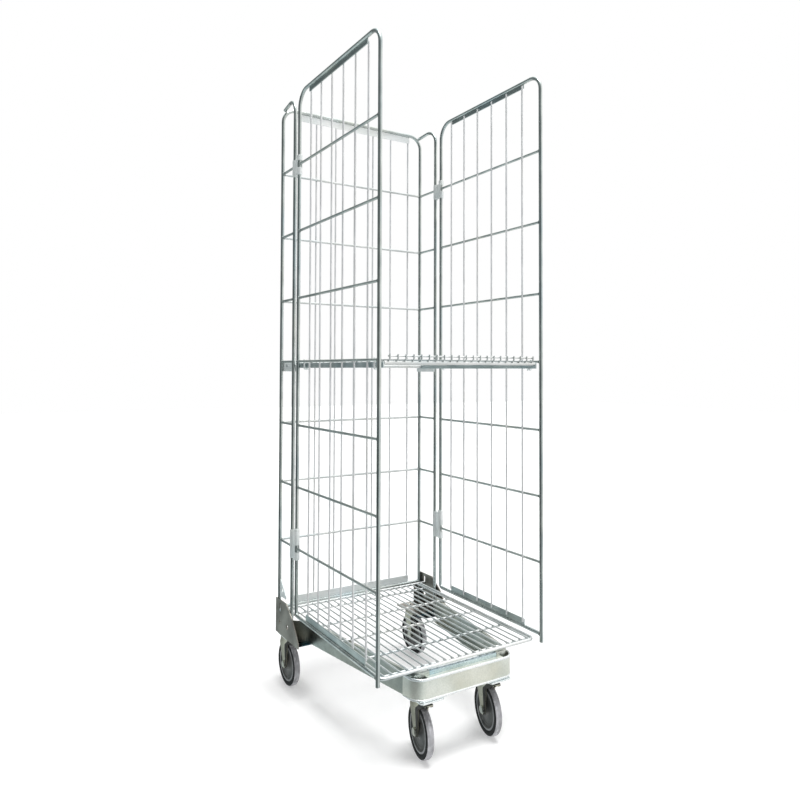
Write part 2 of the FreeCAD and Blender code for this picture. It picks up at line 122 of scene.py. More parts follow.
def across(axis):
    """Two unit vectors square to the axis and to each other."""
    helper = Vector((0, 0, 1)) if abs(axis.z) < 0.9 else Vector((1, 0, 0))
    u = axis.cross(helper).normalized()
    return u, axis.cross(u).normalized()


def lathe(bm, profile, origin, axis, turns, material_of=None):
    """Turn a closed profile of (along, radius) points round the axis."""
    u, v = across(axis)
    rows = []
    for along, radius in profile:
        ring = []
        for k in range(turns):
            t = 2 * math.pi * k / turns
            ring.append(bm.verts.new(origin + axis * along + (u * math.cos(t) + v * math.sin(t)) * radius))
        rows.append(ring)
    for i, row in enumerate(rows):
        after = rows[(i + 1) % len(rows)]
        for k in range(turns):
            face = bm.faces.new((row[k], row[(k + 1) % turns], after[(k + 1) % turns], after[k]))
            if material_of:
                face.material_index = material_of(i)


def piece(name, bm, body, materials, crease=38.0):
    """Turn the bmesh into a smooth shaded object that rides on a body."""
    bmesh.ops.recalc_face_normals(bm, faces=bm.faces)
    mesh = bpy.data.meshes.new(name)
    bm.to_mesh(mesh)
    bm.free()
    for material in materials:
        mesh.materials.append(material)
    mesh.polygons.foreach_set("use_smooth", [True] * len(mesh.polygons))
    mesh.set_sharp_from_angle(angle=math.radians(crease))
    obj = bpy.data.objects.new(name, mesh)
    bpy.context.collection.objects.link(obj)
    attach(obj, body)
    return obj


# ---- Materials ----
# Scales of the noise patterns: a higher number gives a finer pattern.

CLOUDS = 16.0
STREAKS = 260.0
BLUE_PATCHES = 7.0
STRAW_PATCHES = 9.0
SHEEN = 120.0
GRAIN = 700.0

BLUE = (0.30, 0.47, 0.56)
STRAW = (0.60, 0.54, 0.36)
DUST = (0.34, 0.33, 0.31)
GRAIN_DEPTH = 0.4 * MM
FINE_DEPTH = 0.3 * MM
PAPER_DEPTH = 0.5 * MM
ALONG = {"x": (0.06, 1, 1), "y": (1, 0.06, 1), "z": (1, 1, 0.06)}


class Finish:
    """A material with its shader and short calls to add and join nodes."""

    def __init__(self, name, metallic=0.0):
        self.material = bpy.data.materials.new(name)
        self.material.use_nodes = True
        self.tree = self.material.node_tree
        self.surface = self.tree.nodes["Principled BSDF"]
        self.surface.inputs["Metallic"].default_value = metallic
        self.place = self.tree.nodes.new("ShaderNodeTexCoord").outputs["Object"]

    def join(self, source, target):
        self.tree.links.new(source, target)

    def noise(self, scale, detail=3.0, stretch=(1, 1, 1), shift=(0, 0, 0)):
        mapping = self.tree.nodes.new("ShaderNodeMapping")
        mapping.inputs["Scale"].default_value = stretch
        mapping.inputs["Location"].default_value = shift
        self.join(self.place, mapping.inputs["Vector"])
        texture = self.tree.nodes.new("ShaderNodeTexNoise")
        texture.inputs["Scale"].default_value = scale
        texture.inputs["Detail"].default_value = detail
        self.join(mapping.outputs["Vector"], texture.inputs["Vector"])
        return texture.outputs["Fac"]

    def range(self, value, low, high, from_low=0.0, from_high=1.0):
        """Stretch the values between from_low and from_high so that they run from low to high."""
        node = self.tree.nodes.new("ShaderNodeMapRange")
        node.inputs["From Min"].default_value = from_low
        node.inputs["From Max"].default_value = from_high
        node.inputs["To Min"].default_value = low
        node.inputs["To Max"].default_value = high
        self.join(value, node.inputs["Value"])
        return node.outputs["Result"]

    def mix(self, factor, a, b):
        """Blend two colours, each given as numbers or as another node's output."""
        node = self.tree.nodes.new("ShaderNodeMix")
        node.data_type = "RGBA"
        for value, socket in ((a, node.inputs[6]), (b, node.inputs[7])):
            if isinstance(value, tuple):
                socket.default_value = (*value, 1.0)
            else:
                self.join(value, socket)
        self.join(factor, node.inputs["Factor"])
        return node.outputs[2]

    def cloudy(self, scale, dark, light, detail=3.0, start=0.35, end=0.65):
        """Dark and light patches; the noise is dark below start and light above end."""
        return self.mix(self.range(self.noise(scale, detail), 0.0, 1.0, start, end), dark, light)

    def colour(self, tone):
        """Use the tone as the base colour."""
        self.join(tone, self.surface.inputs["Base Color"])

    def roughness(self, pattern, low, high, from_low=0.0, from_high=1.0):
        """Use the pattern as the roughness, stretched to run from low to high."""
        self.join(self.range(pattern, low, high, from_low, from_high), self.surface.inputs["Roughness"])

    def bump(self, height, strength, depth):
        node = self.tree.nodes.new("ShaderNodeBump")
        node.inputs["Strength"].default_value = strength
        node.inputs["Distance"].default_value = depth
        self.join(height, node.inputs["Height"])
        self.join(node.outputs["Normal"], self.surface.inputs["Normal"])


def zinc(name, dark, light, roughness, streak=(1, 1, 1), blue=0.3, straw=0.1, metal=1.0):
    """Zinc plated steel: cloudy tone, faint blue and straw passivation, drawing streaks."""
    f = Finish(name, metal)
    tone = f.cloudy(CLOUDS, dark, light)
    fine = f.range(f.noise(STREAKS, 4.0, streak), 0.0, 0.35, 0.4, 0.75)
    tone = f.mix(fine, tone, tuple(c * 0.72 for c in dark))
    bluish = f.range(f.noise(BLUE_PATCHES, 2.0, shift=(3, 1, 2)), 0.0, blue, 0.48, 0.72)
    tone = f.mix(bluish, tone, BLUE)
    strawish = f.range(f.noise(STRAW_PATCHES, 2.0, shift=(7, 5, 1)), 0.0, straw, 0.50, 0.72)
    f.colour(f.mix(strawish, tone, STRAW))
    f.roughness(f.noise(SHEEN, 4.0, streak), roughness - 0.06, roughness + 0.14, 0.3, 0.7)
    f.bump(f.noise(GRAIN, 3.0, streak), 0.10, GRAIN_DEPTH)
    return f.material


def foot_finish(name, plate_x, skirt_y):
    """Dull plate; the folded skirt at its front inner side is painted near-black as shade, with cyan patches as
    painted highlights.

    The skirt ends at plate_x from the middle and at skirt_y, with a short blend at each.
    """
    f = Finish(name, 1.0)
    dull = f.cloudy(CLOUDS, (0.19, 0.18, 0.16), (0.36, 0.345, 0.31))
    # Painted shade on the skirt: near black, with cyan patches that stand in for highlights.
    skirt_shade_and_glints = f.cloudy(30.0, (0.01, 0.02, 0.03), (0.07, 0.19, 0.24), 2.0, 0.50, 0.66)
    split = f.tree.nodes.new("ShaderNodeSeparateXYZ")
    f.join(f.place, split.inputs["Vector"])
    side = f.tree.nodes.new("ShaderNodeMath")
    side.operation = "ABSOLUTE"
    f.join(split.outputs["X"], side.inputs[0])
    outer = f.range(side.outputs["Value"], 0.0, 1.0, plate_x - 2.0 * MM, plate_x)
    behind = f.range(split.outputs["Y"], 0.0, 1.0, skirt_y, skirt_y + 12.0 * MM)
    skirt = f.mix(outer, skirt_shade_and_glints, dull)
    f.colour(f.mix(behind, skirt, dull))
    f.roughness(f.noise(SHEEN, 4.0), 0.22, 0.42)
    f.bump(f.noise(GRAIN), 0.2, GRAIN_DEPTH)
    return f.material


def weld_metal(name):
    """Duller metal of welds, finely mottled."""
    f = Finish(name, 0.9)
    f.colour(f.cloudy(220.0, (0.26, 0.28, 0.27), (0.50, 0.54, 0.53)))
    f.roughness(f.noise(400.0), 0.36, 0.62)
    f.bump(f.noise(1500.0), 0.25, FINE_DEPTH)
    return f.material


def rubber(name, dark, light, roughness, scuff):
    """Matt surface with dust and pale scuff marks."""
    f = Finish(name)
    tone = f.cloudy(42.0, dark, light, 5.0, 0.38, 0.68)
    marks = f.range(f.noise(160.0, 4.0, (1, 1, 0.3)), 0.0, scuff, 0.5, 0.72)
    f.colour(f.mix(marks, tone, tuple(min(c * 1.9 + 0.03, 1.0) for c in light)))
    f.roughness(f.noise(90.0), roughness - 0.08, roughness + 0.12)
    f.surface.inputs["Specular IOR Level"].default_value = 0.3
    f.bump(f.noise(900.0, 4.0), 0.25, FINE_DEPTH)
    return f.material


def plastic(name, dark, light, roughness):
    """Moulded plastic with dust in patches."""
    f = Finish(name)
    tone = f.cloudy(30.0, dark, light, 4.0, 0.35, 0.68)
    dust = f.range(f.noise(75.0, 5.0, shift=(2, 4, 6)), 0.0, 0.35, 0.55, 0.75)
    f.colour(f.mix(dust, tone, DUST))
    f.roughness(f.noise(110.0), roughness - 0.06, roughness + 0.12)
    f.bump(f.noise(1100.0), 0.15, FINE_DEPTH)
    return f.material


def floor_finish(name):
    """Backlit paper: its own glow keeps the shadows pale and close to the wheels."""
    f = Finish(name)
    f.surface.inputs["Emission Color"].default_value = (1.0, 1.0, 1.0, 1.0)
    f.surface.inputs["Emission Strength"].default_value = 0.28
    f.colour(f.cloudy(1.6, (0.73, 0.73, 0.73), (0.78, 0.78, 0.78), 4.0, 0.3, 0.7))
    f.roughness(f.noise(14.0), 0.75, 0.9)
    f.bump(f.noise(180.0), 0.05, PAPER_DEPTH)
    return f.material


# Dark and light tone of each zinc finish.
ROD_TONES = ((0.48, 0.52, 0.51), (0.69, 0.73, 0.71))
STRIP_TONES = ((0.40, 0.46, 0.46), (0.58, 0.64, 0.63))
FITTING_TONES = ((0.76, 0.81, 0.81), (0.91, 0.94, 0.94))
BASE_TONES = ((0.40, 0.42, 0.38), (0.60, 0.62, 0.57))
DECK_TONES = ((0.70, 0.73, 0.73), (0.88, 0.89, 0.89))
SHELF_TONES = ((0.48, 0.55, 0.56), (0.68, 0.74, 0.75))
CASTER_TONES = ((0.40, 0.39, 0.31), (0.62, 0.60, 0.50))
FASTENER_TONES = ((0.50, 0.49, 0.43), (0.68, 0.67, 0.60))
CROSS_WIRE_TONES = ((0.56, 0.59, 0.59), (0.74, 0.76, 0.76))
UPRIGHT_WIRE_TONES = ((0.76, 0.77, 0.78), (0.90, 0.91, 0.92))
BUMPER_TONES = ((0.66, 0.69, 0.62), (0.82, 0.84, 0.77))
LIP_HIGHLIGHT_TONES = ((0.84, 0.88, 0.88), (0.95, 0.97, 0.97))
RAIL_TONES = ((0.42, 0.52, 0.56), (0.62, 0.72, 0.76))
BACK_STRIP_TONES = ((0.82, 0.86, 0.86), (0.94, 0.95, 0.95))

LOOKS = {
    "zinc_rod": zinc("zinc_rod", *ROD_TONES, 0.26, ALONG["z"]),
    "zinc_wire": zinc("zinc_wire_y", *ROD_TONES, 0.28, ALONG["y"], blue=0.12),
    "zinc_strip": zinc("zinc_strip", *STRIP_TONES, 0.32, ALONG["y"]),
    "zinc_fittings": zinc("zinc_fittings", *FITTING_TONES, 0.40, metal=0.55),
    "pressed_base": zinc("pressed_base", *BASE_TONES, 0.34, blue=0.2, straw=0.2),
    "deck_zinc": zinc("deck_zinc", *DECK_TONES, 0.38, ALONG["y"], blue=0.2),
    "shelf_zinc": zinc("shelf_zinc", *SHELF_TONES, 0.30, ALONG["y"], blue=0.6),
    "caster_steel": zinc("caster_steel", *CASTER_TONES, 0.32, blue=0.05, straw=0.5),
    "fastener_steel": zinc("fastener_steel", *FASTENER_TONES, 0.30, straw=0.4),
}
CROSS_WIRE = zinc("zinc_wire_x", *CROSS_WIRE_TONES, 0.34, ALONG["x"], blue=0.15, metal=0.75)
UPRIGHT_WIRE = zinc("zinc_wire_z", *UPRIGHT_WIRE_TONES, 0.42, ALONG["z"], blue=0.1, metal=0.5)
FOOT_LOW, FOOT_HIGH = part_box("foot_bracket_right")
FOOT = foot_finish("foot_plate", FOOT_HIGH[0] - 5.0 * MM, FOOT_LOW[1] + 45.0 * MM)
BUMPER = zinc("bumper_zinc", *BUMPER_TONES, 0.40, blue=0.15, straw=0.2, metal=0.7)
# Paler, glossier copy of the bumper's zinc for its rolled lips and the corner and caster plates: painted
# highlight.
LIP = zinc("bumper_lip_highlight", *LIP_HIGHLIGHT_TONES, 0.26, blue=0.2, straw=0.0, metal=0.75)
# Strong blue cast of the front rail: partly the zinc's blue passivation, partly painted reflection of the sky.
RAIL = zinc("rail_zinc", *RAIL_TONES, 0.24, blue=0.7, straw=0.0)
BACK_STRIP = zinc("back_strip", *BACK_STRIP_TONES, 0.40, ALONG["x"], blue=0.15, metal=0.5)
# Near-black painted shade for the inner faces of the forks and the front of their outer faces, with faint scuff
# marks.
FORK_PAINTED_SHADE = rubber("fork_painted_shade", (0.012, 0.012, 0.011), (0.05, 0.048, 0.042), 0.5, 0.2)
WELD = weld_metal("weld_metal")
# Wall and tread: the wall's near black is partly the rubber, partly painted shade; the tread's much paler grey is
# partly dust, partly painted light.
TYRE_WALL = rubber("tyre_wall", (0.004, 0.004, 0.0045), (0.009, 0.009, 0.01), 0.6, 0.06)
TYRE_TREAD = rubber("tyre_tread", (0.24, 0.24, 0.25), (0.40, 0.40, 0.42), 0.62, 0.5)
CORE = plastic("wheel_core", (0.045, 0.048, 0.047), (0.10, 0.10, 0.095), 0.42)
# Paler ring on the rim: a painted highlight along the rim's edge.
CORE_RIM_HIGHLIGHT = plastic("wheel_rim_highlight", (0.18, 0.19, 0.20), (0.30, 0.31, 0.32), 0.38)


# ---- CAD nodes that keep their shape ----

# Nodes that look unlike the rest of their slot.
OWN_LOOKS = {
    "back_verticals": UPRIGHT_WIRE,
    "panel_verticals_left": UPRIGHT_WIRE,
    "panel_verticals_right": UPRIGHT_WIRE,
    "back_horizontals": CROSS_WIRE,
    "foot_bracket_left": FOOT,
    "foot_bracket_right": FOOT,
    # Corner and caster plates take the lips' pale look: painted highlight.
    "front_corner_plates": LIP,
    "caster_plates": LIP,
    "shelf_wires": LOOKS["deck_zinc"],
    "shelf_rods": LOOKS["deck_zinc"],
    "front_bumper": BUMPER,
    "front_rail": RAIL,
    "back_strips": BACK_STRIP,
}

# Width in mm of the rounding on the edges of sheet and solid nodes.
BEVELS = {
    "front_rail": 1.0,
    "front_bumper": 1.2,
    "front_corner_plates": 0.8,
    "base_arm_left": 1.0,
    "base_arm_right": 1.0,
    "foot_bracket_left": 0.9,
    "foot_bracket_right": 0.9,
    "back_strips": 0.8,
    "panel_strips_left": 0.8,
    "panel_strips_right": 0.8,
    "hinge_clips": 0.6,
    "hinge_collars_left": 0.8,
    "hinge_collars_right": 0.8,
    "shelf_pivot_plates": 0.6,
    "lock_tab": 0.6,
    "shelf_rails": 0.9,
    "caster_plates": 0.7,
    "caster_fasteners": 0.4,
}
BEVELS.update({"axle_" + corner: 0.5 for corner in CORNERS})


def soften(obj, width):
    """Round the sharp edges of a CAD node without touching its mesh."""
    weld = obj.modifiers.new("weld", "WELD")
    weld.merge_threshold = 0.01 * MM
    bevel = obj.modifiers.new("bevel", "BEVEL")
    bevel.width = width * MM
    bevel.segments = 3
    bevel.limit_method = "ANGLE"
    bevel.angle_limit = math.radians(40)


def look_of(node):
    """A node's own look, or its slot's; tyres and wheel cores are replaced and take the core's look."""
    return OWN_LOOKS.get(node, LOOKS.get(slot_of[node], CORE))


def dress_cad_nodes():
    for name, obj in nodes.items():
        obj.data.materials.clear()
        obj.data.materials.append(look_of(name))
        if name in BEVELS:
            soften(obj, BEVELS[name])


# ---- Weld metal ----

NUGGET_FILL = 0.92              # part of the shared patch that a nugget covers
NUGGET_EDGE = 0.2 * MM
NUGGET_HEIGHT = 1.3 * MM
TOUCH = 0.3 * MM                # wires nearer than this are welded
END_SINK = 0.4 * MM
END_HALF_LENGTH = 1.9 * MM
LUMPS = 900                     # scale of the unevenness of a lump
WAVES = 400                     # scale of the changes of size along a bead
WAVE_SHARE = 0.15               # greatest change of size along a bead
RIPPLE_STEP = 0.9               # as a part of the bead's half width, like the next two
RIPPLE_LENGTH = 0.8
RING_LENGTH = 0.9

# Half width of the bead at each kind of joint.
BEAD = {
    "rail_seam": 1.5 * MM,
    "rail_top": 1.0 * MM,
    "post": 1.4 * MM,
    "arm": 1.6 * MM,
    "cross_rod": 1.2 * MM,
    "tab": 1.1 * MM,
    "clip": 0.8 * MM,
    "corner_plate": 1.3 * MM,
    "shelf_rod": 0.9 * MM,
    "deck_rod": 1.0 * MM,
    "strip": 1.0 * MM,
    "panel_rod": 1.1 * MM,
}


def blob(bm, centre, u, v, w, rings=5, sides=10, rough=0.12):
    """Uneven lump of weld metal with half axes u, v and w."""
    rows = []
    for i in range(1, rings):
        lift = math.pi * i / rings
        row = []
        for k in range(sides):
            t = 2 * math.pi * k / sides
            d = u * math.cos(t) * math.sin(lift) + v * math.sin(t) * math.sin(lift) + w * math.cos(lift)
            place = centre + d
            d = d * (1 + rough * noise.noise(place * LUMPS))
            row.append(bm.verts.new(centre + d))
        rows.append(row)
    top = bm.verts.new(centre + w)
    bottom = bm.verts.new(centre - w)
    for k in range(sides):
        bm.faces.new((top, rows[0][k], rows[0][(k + 1) % sides]))
        bm.faces.new((bottom, rows[-1][(k + 1) % sides], rows[-1][k]))
    for a, b in zip(rows, rows[1:]):
        for k in range(sides):
            bm.faces.new((a[k], b[k], b[(k + 1) % sides], a[(k + 1) % sides]))


def ripple(bm, centre, u, v, w):
    """Simpler lump, for runs of many."""
    blob(bm, centre, u, v, w, rings=4, sides=8)


def along_axes(lengths):
    """Three vectors along x, y and z with the given lengths."""
    vectors = [Vector((0, 0, 0)) for _ in range(3)]
    for k in range(3):
        vectors[k][k] = lengths[k]
    return vectors


def nugget_at(bm, low, high):
    """Weld nugget where two wires touch, sized from the patch they share."""
    half = [max((high[k] - low[k]) / 2, 0.0) for k in range(3)]
    thin = min(range(3), key=lambda k: half[k])
    lengths = [half[k] * NUGGET_FILL + NUGGET_EDGE for k in range(3)]
    lengths[thin] = NUGGET_HEIGHT
    vectors = along_axes(lengths)
    blob(bm, (low + high) / 2, vectors[(thin + 1) % 3], vectors[(thin + 2) % 3], vectors[thin])


def cross_welds(bm, node_a, node_b):
    """A nugget wherever a solid of one node touches a solid of the other."""
    for low_a, high_a in islands(node_a):
        for low_b, high_b in islands(node_b):
            low = Vector([max(low_a[k], low_b[k]) for k in range(3)])
            high = Vector([min(high_a[k], high_b[k]) for k in range(3)])
            if all(low[k] - TOUCH <= high[k] for k in range(3)):
                nugget_at(bm, low, high)


def end_welds(bm, node, extra=1.3):
    """Ring of weld metal where the ends of straight wires meet a rod, extra mm wider than the wire."""
    for box in islands(node):
        axis = long_axis(box)
        centre = (box[0] + box[1]) / 2
        radius = min((box[1] - box[0])[k] for k in range(3) if k != axis) / 2
        lengths = [radius + extra * MM] * 3
        lengths[axis] = END_HALF_LENGTH
        vectors = along_axes(lengths)
        for end in (box[0][axis], box[1][axis]):
            place = centre.copy()
            place[axis] = end
            place[axis] += math.copysign(END_SINK, centre[axis] - end)
            blob(bm, place, vectors[(axis + 1) % 3], vectors[(axis + 2) % 3], vectors[axis], rough=0.2)


def line_bead(bm, start, end, size):
    """Run of weld ripples from start to end."""
    start, end = Vector(start), Vector(end)
    along = (end - start).normalized()
    u, v = across(along)
    count = max(round((end - start).length / (size * RIPPLE_STEP)), 1)
    for k in range(count + 1):
        place = start + (end - start) * k / count
        wave = 1 + WAVE_SHARE * noise.noise(place * WAVES)
        ripple(bm, place, u * size * wave, v * size * wave, along * size * RIPPLE_LENGTH)


def ring_bead(bm, centre, axis, radius, size):
    """Weld ripples right round a rod."""
    centre, axis = Vector(centre), Vector(axis)
    u, v = across(axis)
    count = round(2 * math.pi * radius / size)
    for k in range(count):
        t = 2 * math.pi * k / count
        out = u * math.cos(t) + v * math.sin(t)
        ripple(bm, centre + out * radius, out * size, axis * size, axis.cross(out) * size * RING_LENGTH)


# ---- Welds of the frame ----

def rail_beads(bm, side):
    """Upright seam and short top bead where the front rail meets an arm."""
    low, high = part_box("front_rail")
    seam = high.x * side
    behind = low.y + SHEET
    top_end = low.y + 8 * MM
    line_bead(bm, (seam, behind, low.z + SHEET), (seam, behind, high.z - SHEET), BEAD["rail_seam"])
    line_bead(bm, (seam, behind, high.z), (seam, top_end, high.z), BEAD["rail_top"])


def post_beads(bm, side, name):
    """Rings at the feet of the corner upright and of the hinge post."""
    low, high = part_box("back_outline")
    upright = side * (high.x - ROD)
    ring_bead(bm, (upright, middle("back_outline").y, low.z), (0, 0, 1), ROD, BEAD["post"])
    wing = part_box("wing_rod_" + name)[0]
    ring_bead(bm, (upright, wing.y + ROD, wing.z), (0, 0, 1), ROD, BEAD["post"])


def arm_beads(bm, side, name):
    """Upright bead where a base arm meets the inside of its foot bracket."""
    low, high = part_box("base_arm_left")
    foot_low, foot_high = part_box("foot_bracket_" + name)
    outside = foot_high.x if side > 0 else foot_low.x
    inside = outside - side * (SHEET + 0.5 * MM)
    end = high.y - 0.5 * MM
    line_bead(bm, (inside, end, low.z + SHEET), (inside, end, high.z - SHEET), BEAD["arm"])


def cross_rod_beads(bm, side):
    """Rings at the ends of the back's lower cross rod."""
    end = side * (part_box("back_outline")[1].x - 2 * ROD)
    for box in islands("back_outline"):
        if long_axis(box) == 0 and box[1].z - box[0].z < 4 * ROD:
            centre = (box[0] + box[1]) / 2
            ring_bead(bm, (end, centre.y, centre.z), (1, 0, 0), ROD, BEAD["cross_rod"])


def tab_beads(bm):
    low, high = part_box("lock_tab")
    for x in (low.x, high.x):
        line_bead(bm, (x, high.y, low.z), (x, high.y, high.z), BEAD["tab"])


def clip_beads(bm):
    """Upright beads between the hinge clips and the hinge posts."""
    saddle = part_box("wing_rod_left")[0].y + ROD
    for low, high in islands("hinge_clips"):
        for x in (low.x, high.x):
            place = x + math.copysign(1.1 * MM, (low.x + high.x) / 2 - x)
            line_bead(bm, (place, saddle, low.z + SHEET), (place, saddle, high.z - SHEET), BEAD["clip"])


def corner_plate_beads(bm):
    """Beads across the tops of the front corner plates, behind the front rail's face."""
    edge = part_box("front_rail")[0].y + SHEET
    for low, high in islands("front_corner_plates"):
        start = low.x + 6 * MM
        end = high.x - 20 * MM
        line_bead(bm, (start, edge, high.z), (end, edge, high.z), BEAD["corner_plate"])


def frame_beads(bm):
    for side, name in ((-1, "left"), (1, "right")):
        rail_beads(bm, side)
        post_beads(bm, side, name)
        arm_beads(bm, side, name)
        cross_rod_beads(bm, side)
    tab_beads(bm)
    clip_beads(bm)
    corner_plate_beads(bm)


# ---- Welds of the moving bodies ----

def shelf_beads(bm):
    """Rings where the shelf's cross rods meet the inner faces of its rails."""
    rail_inner = min(high.x for low, high in islands("shelf_rails") if low.x > 0) - SHELF_RAIL
    for low, high in islands("shelf_rods"):
        if abs(high.x - rail_inner) < 0.5 * MM:
            centre = (low + high) / 2
            radius = (high.z - low.z) / 2
            for side in (-1, 1):
                place = (side * rail_inner, centre.y, centre.z)
                ring_bead(bm, place, (1, 0, 0), radius, BEAD["shelf_rod"])


def deck_beads(bm):
    """Rings where the ends of the deck's bent rod meet its pivot rod."""
    pivot, loop = sorted(islands("deck_frame"), key=lambda box: box[1].y - box[0].y)
    height = (pivot[0].z + pivot[1].z) / 2
    for side in (-1, 1):
        x = side * (loop[1].x - THIN_ROD)
        ring_bead(bm, (x, pivot[0].y, height), (0, 1, 0), THIN_ROD, BEAD["deck_rod"])


def panel_beads(bm, side):
    """Three stitches along each strip, and a ring near the rear end of the panel's lower rod."""
    stitch = 4 * MM
    strips = middle("panel_strips_" + side)
    for box in islands("panel_strips_" + side):
        edge = box[1].z if box[0].z > strips.z else box[0].z
        for y in (box[0].y + stitch, strips.y, box[1].y - stitch):
            line_bead(bm, (strips.x, y - stitch, edge), (strips.x, y + stitch, edge), BEAD["strip"])
    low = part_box("panel_outline_" + side)[0]
    corner = (middle("panel_outline_" + side).x, low.y + 2 * ROD, low.z + 20 * MM)
    ring_bead(bm, corner, (0, 1, 0), ROD, BEAD["panel_rod"])


def build_welds():
    bm = bmesh.new()
    frame_beads(bm)
    piece("frame_beads", bm, "frame", [WELD])
    bm = bmesh.new()
    shelf_beads(bm)
    piece("shelf_beads", bm, "shelf", [WELD])
    bm = bmesh.new()
    deck_beads(bm)
    piece("deck_beads", bm, "deck", [WELD])
    for side in SIDES:
        bm = bmesh.new()
        panel_beads(bm, side)
        piece("panel_beads_" + side, bm, "panel_" + side, [WELD])
    bm = bmesh.new()
    cross_welds(bm, "back_verticals", "back_horizontals")
    cross_welds(bm, "back_verticals", "back_strips")
    end_welds(bm, "back_horizontals")
    for side in SIDES:
        end_welds(bm, "wing_wires_" + side)
    piece("back_welds", bm, "frame", [WELD])
    for side in SIDES:
        bm = bmesh.new()
        cross_welds(bm, "panel_verticals_" + side, "panel_horizontals_" + side)
        cross_welds(bm, "panel_verticals_" + side, "panel_strips_" + side)
        end_welds(bm, "panel_horizontals_" + side)
        piece("panel_welds_" + side, bm, "panel_" + side, [WELD])
    bm = bmesh.new()
    cross_welds(bm, "deck_wires", "deck_cross_rods")
    end_welds(bm, "deck_cross_rods", 0.8)
    piece("deck_welds", bm, "deck", [WELD])
    bm = bmesh.new()
    cross_welds(bm, "shelf_wires", "shelf_rods")
    piece("shelf_welds", bm, "shelf", [WELD])


# ---- Wheels ----
# Half sections as (across, radius) in mm.

TYRE_HALF = [(-8.3, 49.0), (-9.1, 50.6), (-9.5, 54.0), (-9.3, 58.0), (-8.0, 61.0), (-5.5, 62.4)]
TYRE_CROWN = (0.0, 62.5)
TREAD_RADIUS = 60.6

HUB = [(12.2, 6.1), (12.2, 10.2), (11.4, 11.2), (8.5, 13.2), (6.0, 16.0)]
DISC = [(5.6, 18.5), (4.8, 19.5), (4.2, 28.0), (4.2, 34.0), (4.8, 35.0), (5.0, 39.5)]
RIM = [(7.4, 42.4), (8.2, 44.6), (8.3, 47.0), (7.8, 47.8), (8.2, 48.9)]
RIM_RADIUS = 44.2


def flipped(half):
    """The same points on the other side of the middle plane, in the opposite order."""
    return [(-x, r) for x, r in reversed(half)]


def rounded(points, radius, steps=3, share=0.45):
    """Closed outline with each corner replaced by a short curve, which takes at most a share of an edge."""
    out = []
    count = len(points)
    for k in range(count):
        here = Vector(points[k])
        before = Vector(points[k - 1])
        after = Vector(points[(k + 1) % count])
        cut = min(radius, (before - here).length * share, (after - here).length * share)
        a = here + (before - here).normalized() * cut
        b = here + (after - here).normalized() * cut
        for i in range(steps + 1):
            t = i / steps
            out.append(tuple(a * (1 - t) ** 2 + here * 2 * t * (1 - t) + b * t ** 2))
    return out


def turned(bm, corner, points, corner_radius, change):
    """Turn an outline in mm round a wheel's axle; beyond the change radius it takes the second look."""
    joint = joints["roll_" + corner]
    axis = Vector(joint["axis"]).normalized()
    outline = rounded([(x * MM, r * MM) for x, r in points], corner_radius * MM)

    def material_of(index):
        return 1 if outline[index][1] > change * MM else 0

    lathe(bm, outline, Vector(joint["pos_m"]), axis, 96, material_of)


def build_wheel(corner):
    bm = bmesh.new()
    turned(bm, corner, [*TYRE_HALF, TYRE_CROWN, *flipped(TYRE_HALF)], 0.9, TREAD_RADIUS)
    obj = piece("tyre_mould_" + corner, bm, "roller_" + corner, [TYRE_WALL, TYRE_TREAD], 60.0)
    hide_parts("tyre_" + corner)

    half = HUB + DISC + RIM
    bm = bmesh.new()
    turned(bm, corner, [(-x, r) for x, r in half] + list(reversed(half)), 0.7, RIM_RADIUS)
    obj = piece("wheel_disc_" + corner, bm, "roller_" + corner, [CORE, CORE_RIM_HIGHLIGHT])
    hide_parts("wheel_" + corner)


# ---- Forks ----
# A fork is one bent strip: up one leg, over the crown and down the other. Values here are in mm.

BOSS = 13.0             # radius of the leg's round end
TIP = 0.1               # half width of the leg at its very end
LEG = 15.5              # middle plane to the outer face of a leg
FORK_SHEET = 2.5
CROWN = 143.5           # height of the crown's top face
BEND = 6.0              # outer radius between leg and crown
CROWN_NOSE = 9.0        # the crown's middle reaches this far past the legs
CREST = 18.0            # the crest line of a leg lies no further forward than this
CREST_SHARE = 0.35      # nor than this part of the leg's width from its front edge
REAR_FALL = 0.5         # the leg curves in less behind its crest than in front
LEG_STEPS = 16
BEND_STEPS = 6
ACROSS_STEPS = 14
SHADED_FRONT_STEPS = 4          # the front part of the outer face, painted near-black as shade like the inside
KING_RING = [(0.0, 13.5), (1.6, 13.5), (2.0, 14.2), (2.0, 20.3), (1.6, 21.0), (0.0, 21.0)]


def between(value, knots):
    """Straight-line value at a point of a short list of (place, value), place falling."""
    for (z0, v0), (z1, v1) in zip(knots, knots[1:]):
        if value >= z1:
            return v0 + (v1 - v0) * (z0 - value) / (z0 - z1)
    return knots[-1][1]


def fork_edges(z, trail, axle_z):
    """Front and rear edge of a leg at a height, from the kingpin along the trail.

    Above the axle they are straight between knots of (height, edge).
    """
    if z < axle_z:
        reach = math.sqrt(max(BOSS ** 2 - (axle_z - z) ** 2, TIP ** 2))
        return trail - reach, trail + reach
    front = [(CROWN, -20.0), (132.0, -14.0), (124.0, 0.0), (118.0, 10.0), (axle_z, trail - BOSS)]
    rear = [(CROWN, 56.0), (112.0, 58.0), (axle_z + 6.0, trail + BOSS - 1.0), (axle_z, trail + BOSS)]
    return between(z, front), between(z, rear)


